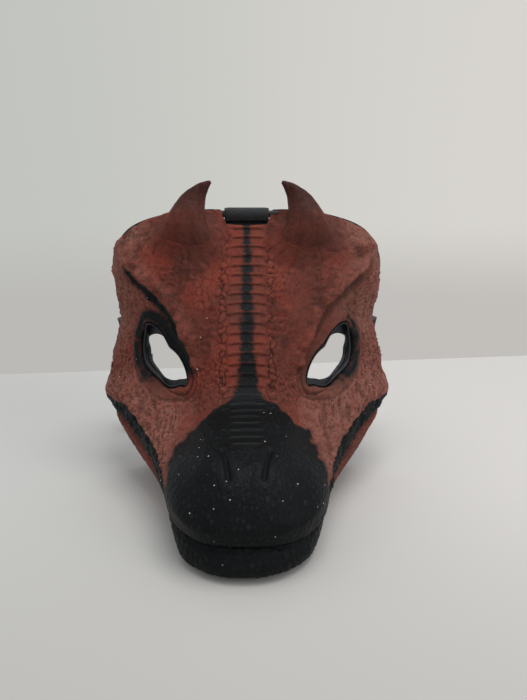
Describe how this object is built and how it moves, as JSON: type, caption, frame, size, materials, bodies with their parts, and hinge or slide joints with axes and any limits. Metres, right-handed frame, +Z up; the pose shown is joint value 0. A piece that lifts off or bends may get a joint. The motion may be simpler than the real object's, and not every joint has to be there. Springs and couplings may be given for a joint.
{
  "type": "horned dinosaur face mask",
  "caption": "Wearable horned dinosaur face mask with open eyes, foam pads, strap harness and a sprung lower jaw that follows the wearer's chin.",
  "frame": {"origin": "on the surface the mask stands on, under the middle of its whole box, harness included", "axes": "+Z up, -Y the way the snout points, +X the wearer's left; the mask is its own mirror image across X"},
  "size_m": [0.2338, 0.2504, 0.2139],
  "materials": {
    "painted_shell": "black moulded plastic brushed with satin red-brown paint, snout left black",
    "painted_jaw": "black moulded plastic, sides brushed with red-brown paint",
    "black_plastic": "satin black",
    "horn_paint": "smooth satin brown-red paint",
    "steel": "zinc plated",
    "ivory": "satin",
    "foam": "soft closed-cell foam",
    "webbing": "woven",
    "elastic": "plain rubber"
  },
  "bodies": {
    "head": {"upper_shell": "painted_shell", "face_frame": "black_plastic", "eye_rim_left": "black_plastic", "eye_rim_right": "black_plastic", "horn_left": "horn_paint", "horn_right": "horn_paint", "horn_screws": "steel", "frame_screws": "steel", "upper_teeth": "ivory", "forehead_pad": "foam", "nose_pad": "foam", "temple_pad_left": "foam", "temple_pad_right": "foam", "hinge_pin_left": "steel", "hinge_pin_right": "steel", "jaw_elastic_left": "elastic", "jaw_elastic_right": "elastic", "strap_bar": "black_plastic", "side_loop_left": "black_plastic", "side_loop_right": "black_plastic", "loop_screws": "steel", "strap_top": "webbing", "strap_left": "webbing", "strap_right": "webbing", "strap_patch": "webbing"},
    "jaw": {"lower_jaw": "painted_jaw", "lower_teeth": "ivory", "chin_cup": "black_plastic", "chin_pad": "foam", "chin_screws": "steel"},
    "slider_top": {"slider_top": "black_plastic"},
    "slider_left": {"slider_left": "black_plastic"},
    "slider_right": {"slider_right": "black_plastic"}
  },
  "joints": [
    {"name": "jaw_hinge", "type": "hinge", "parent": "head", "child": "jaw", "pos_m": [0, 0.0442, 0.069], "axis": [1, 0, 0], "range_deg": [0, 24], "stiffness_Nm_per_rad": 0.5, "springref_deg": -17.19, "deforming": ["jaw_elastic_left", "jaw_elastic_right"]},
    {"name": "slider_top_travel", "type": "slide", "parent": "head", "child": "slider_top", "axis": [0, 0, 1], "range_m": [-0.018, 0.018]},
    {"name": "slider_left_travel", "type": "slide", "parent": "head", "child": "slider_left", "axis": [0, 0, 1], "range_m": [-0.018, 0.018]},
    {"name": "slider_right_travel", "type": "slide", "parent": "head", "child": "slider_right", "axis": [0, 0, 1], "range_m": [-0.018, 0.018]}
  ]
}
